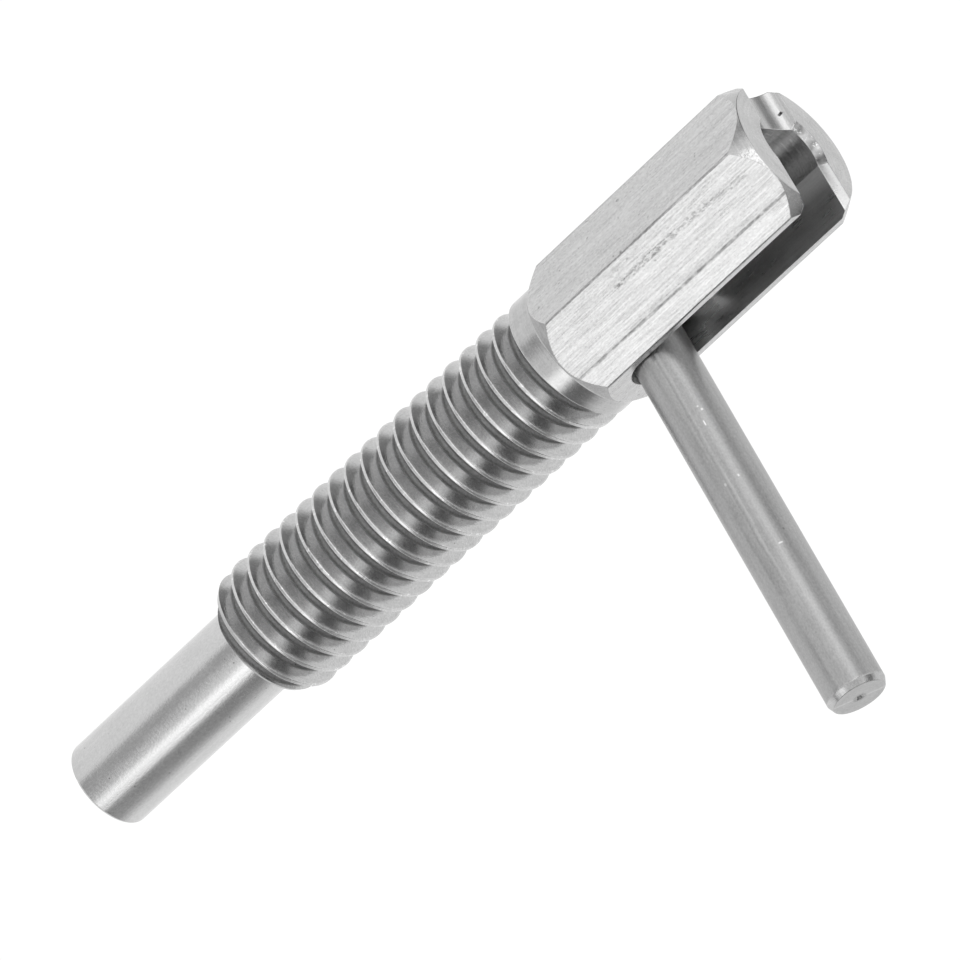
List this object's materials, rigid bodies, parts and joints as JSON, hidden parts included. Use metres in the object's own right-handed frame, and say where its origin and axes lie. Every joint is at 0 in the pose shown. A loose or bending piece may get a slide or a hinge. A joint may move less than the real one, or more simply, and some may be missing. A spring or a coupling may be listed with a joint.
{
  "type": "indexing plunger",
  "caption": "Spring-loaded indexing plunger: threaded hexagon body, retractable nose pin and a cross lever that rides in a slot and parks in a notch.",
  "frame": {"origin": "centre of the body's nose face, on the axis of the thread and the pin", "axes": "+Z along the axis from the nose to the slotted head, +X out through the slot along the lever, +Y completes a right-handed frame"},
  "size_m": [0.0352, 0.0108, 0.0664],
  "materials": {
    "body_steel": "cold-drawn hexagon flats, turned neck and thread, light machining marks",
    "pin_steel": "ground and polished",
    "rod_steel": "turned, lightly oiled",
    "lever_steel": "satin, drawing lines along its length",
    "spring_steel": "drawn music wire"
  },
  "bodies": {
    "body": {"body": "body_steel", "spring": "spring_steel"},
    "plunger": {"index_pin": "pin_steel", "pull_rod": "rod_steel", "lever": "lever_steel"}
  },
  "joints": [
    {"name": "plunger_slide", "type": "slide", "parent": "body", "child": "plunger", "axis": [0, 0, 1], "range_m": [0, 0.0175], "stiffness_N_per_m": 900, "springref_m": -0.0045, "deforming": ["spring"]}
  ]
}
